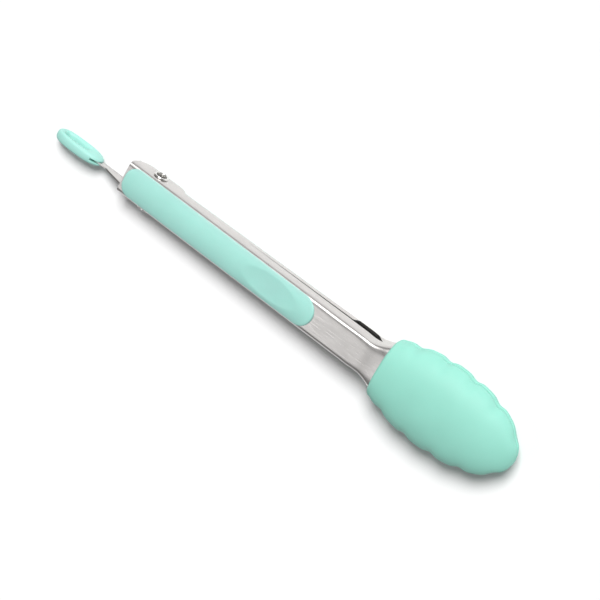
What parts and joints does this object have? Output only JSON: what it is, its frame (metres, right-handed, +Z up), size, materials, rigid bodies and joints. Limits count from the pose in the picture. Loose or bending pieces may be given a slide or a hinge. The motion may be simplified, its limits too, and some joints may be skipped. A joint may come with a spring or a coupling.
{
  "type": "spring loaded kitchen tongs",
  "caption": "Small spring loaded kitchen tongs: steel channel arms with soft grip pads, scalloped silicone heads and a pull loop that locks them closed.",
  "frame": {"origin": "centre of the hollow pivot rivet's bore, midway between its two heads", "axes": "+X from the pivot to the tips along the closed tongs, +Y along the rivet, +Z up out of the upper arm's face"},
  "size_m": [0.2705, 0.0428, 0.023],
  "materials": {
    "steel_sheet": "satin",
    "grip_silicone": "matte",
    "head_silicone": "matte",
    "rivet_steel": "polished",
    "spring_wire": "drawn wire"
  },
  "bodies": {
    "lower": {"lower_arm": "steel_sheet", "lower_grip_pad": "grip_silicone", "lower_head": "head_silicone", "pivot_rivet": "rivet_steel", "spacer_sleeve": "rivet_steel", "torsion_spring": "spring_wire"},
    "upper": {"upper_arm": "steel_sheet", "upper_grip_pad": "grip_silicone", "upper_head": "head_silicone"},
    "lock": {"lock_plate": "steel_sheet", "pull_loop": "grip_silicone"}
  },
  "joints": [
    {"name": "arm_hinge", "type": "hinge", "parent": "lower", "child": "upper", "pos_m": [0, 0, 0], "axis": [0, -1, 0], "range_deg": [0, 20], "stiffness_Nm_per_rad": 0.35, "springref_deg": 51.57, "deforming": ["torsion_spring"]},
    {"name": "lock_slide", "type": "slide", "parent": "lower", "child": "lock", "axis": [1, 0, 0], "range_m": [0, 0.011]}
  ],
  "couplings": [
    {"joint": "lock_slide", "follows": "arm_hinge", "m_per_rad": 0.0315}
  ]
}
